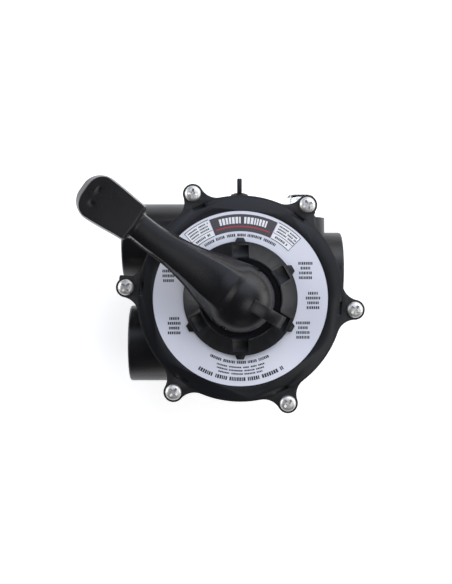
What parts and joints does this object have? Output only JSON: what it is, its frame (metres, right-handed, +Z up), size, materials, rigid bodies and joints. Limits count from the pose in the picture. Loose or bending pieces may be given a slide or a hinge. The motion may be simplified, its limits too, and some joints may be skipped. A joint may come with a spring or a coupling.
{
  "type": "multiport valve",
  "caption": "Top-mount selector valve for a pool sand filter: a bowl with threaded side ports, a notched cover and a lever that lifts and turns an inner key.",
  "frame": {"origin": "on the valve's axis, at the foot of the neck, which is the mouth of the standpipe socket", "axes": "+Z up along the valve's axis; -X towards the pump and return ports; +Y towards the sight glass and the gauge port"},
  "size_m": [0.2232, 0.1921, 0.1959],
  "materials": {
    "body_plastic": "moulded ABS, satin",
    "cover_plastic": "moulded ABS, satin with a grained rim",
    "label_plate": "printed plate, satin",
    "screw_steel": "stainless, rolled",
    "seal_rubber": "moulded",
    "slip_plastic": "PTFE",
    "plug_plastic": "moulded ABS",
    "clear_plastic": "clear moulded",
    "spring_steel": "stainless wire",
    "key_plastic": "moulded ABS",
    "pin_steel": "stainless, ground",
    "handle_plastic": "moulded ABS, satin gloss"
  },
  "bodies": {
    "casing": {"valve_body": "body_plastic", "cover": "cover_plastic", "position_label": "label_plate", "cover_screws": "screw_steel", "cover_nuts": "screw_steel", "cover_o_ring": "seal_rubber", "tank_o_ring": "seal_rubber", "standpipe_seal": "seal_rubber", "spider_gasket": "seal_rubber", "upper_slip_washer": "slip_plastic", "gauge_plug": "plug_plastic", "gauge_plug_o_ring": "seal_rubber", "sight_glass": "clear_plastic", "sight_glass_gasket": "seal_rubber"},
    "turning_washer": {"handle_washer": "slip_plastic", "key_spring": "spring_steel"},
    "key_and_stem": {"key": "key_plastic", "stem_o_rings": "seal_rubber", "lower_spring_washer": "spring_steel", "handle_pin": "pin_steel"},
    "lever": {"handle": "handle_plastic"}
  },
  "joints": [
    {"name": "selector_turn", "type": "hinge", "parent": "casing", "child": "turning_washer", "pos_m": [0, 0, 0.144], "axis": [0, 0, 1], "range_deg": [-180, 180]},
    {"name": "key_lift", "type": "slide", "parent": "turning_washer", "child": "key_and_stem", "axis": [0, 0, 1], "range_m": [-0.0011, 0.0032], "deforming": ["key_spring"]},
    {"name": "handle_tilt", "type": "hinge", "parent": "key_and_stem", "child": "lever", "pos_m": [0, 0, 0.161], "axis": [-0.5, -0.866, 0], "range_deg": [-4.5, 13], "stiffness_Nm_per_rad": 0.6, "springref_deg": -11.46}
  ],
  "couplings": [
    {"joint": "key_lift", "follows": "handle_tilt", "m_per_rad": 0.014}
  ]
}
